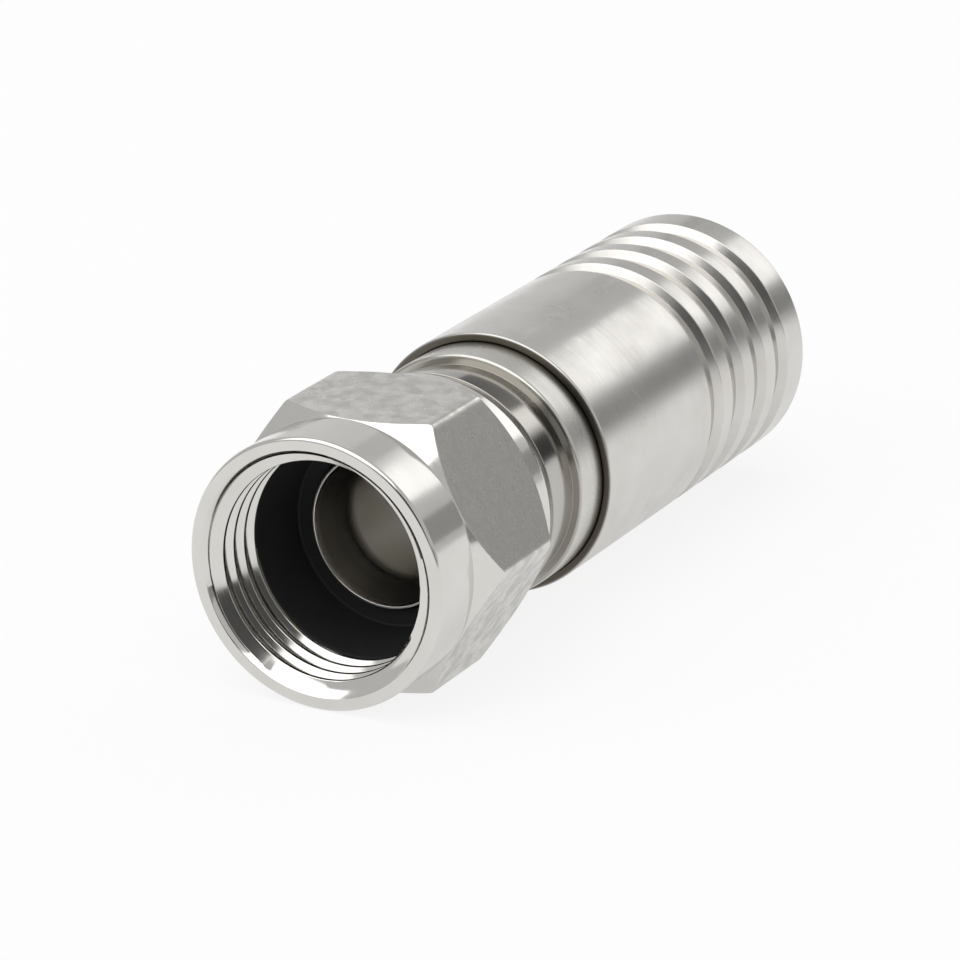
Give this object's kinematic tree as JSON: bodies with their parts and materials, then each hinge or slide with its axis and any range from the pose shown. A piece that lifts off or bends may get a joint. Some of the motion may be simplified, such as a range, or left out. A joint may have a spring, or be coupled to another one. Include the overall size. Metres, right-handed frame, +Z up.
{
  "type": "f connector",
  "caption": "F-type coaxial compression connector: swivelling hex nut with port seal, inner post, body and grooved sleeve that is driven forward to grip a cable.",
  "frame": {"origin": "on the connector's axis at the mouth of the nut, where the port's thread enters", "axes": "+X along the axis from the nut towards the cable, +Z up through a flat of the nut, the opposite flat resting on the table"},
  "size_m": [0.0329, 0.0128, 0.0112],
  "materials": {
    "nut_nickel": "brass with bright nickel plate, lightly milled flats",
    "post_nickel": "brass with satin nickel plate, turned",
    "body_nickel": "brass with bright nickel plate, turned",
    "sleeve_nickel": "brass with satin nickel plate, turned",
    "seal_rubber": "smooth black rubber",
    "swivel_rubber": "smooth black rubber",
    "ferrule_plastic": "natural moulded acetal"
  },
  "bodies": {
    "body": {"connector_body": "body_nickel", "inner_post": "post_nickel", "swivel_seal": "swivel_rubber"},
    "nut": {"coupling_nut": "nut_nickel", "port_seal": "seal_rubber"},
    "sleeve": {"compression_sleeve": "sleeve_nickel", "grip_ferrule": "ferrule_plastic"}
  },
  "joints": [
    {"name": "nut_swivel", "type": "hinge", "parent": "body", "child": "nut", "pos_m": [0, 0, 0], "axis": [1, 0, 0], "continuous": true},
    {"name": "sleeve_compression", "type": "slide", "parent": "body", "child": "sleeve", "axis": [-1, 0, 0], "range_m": [0, 0.00325]}
  ]
}
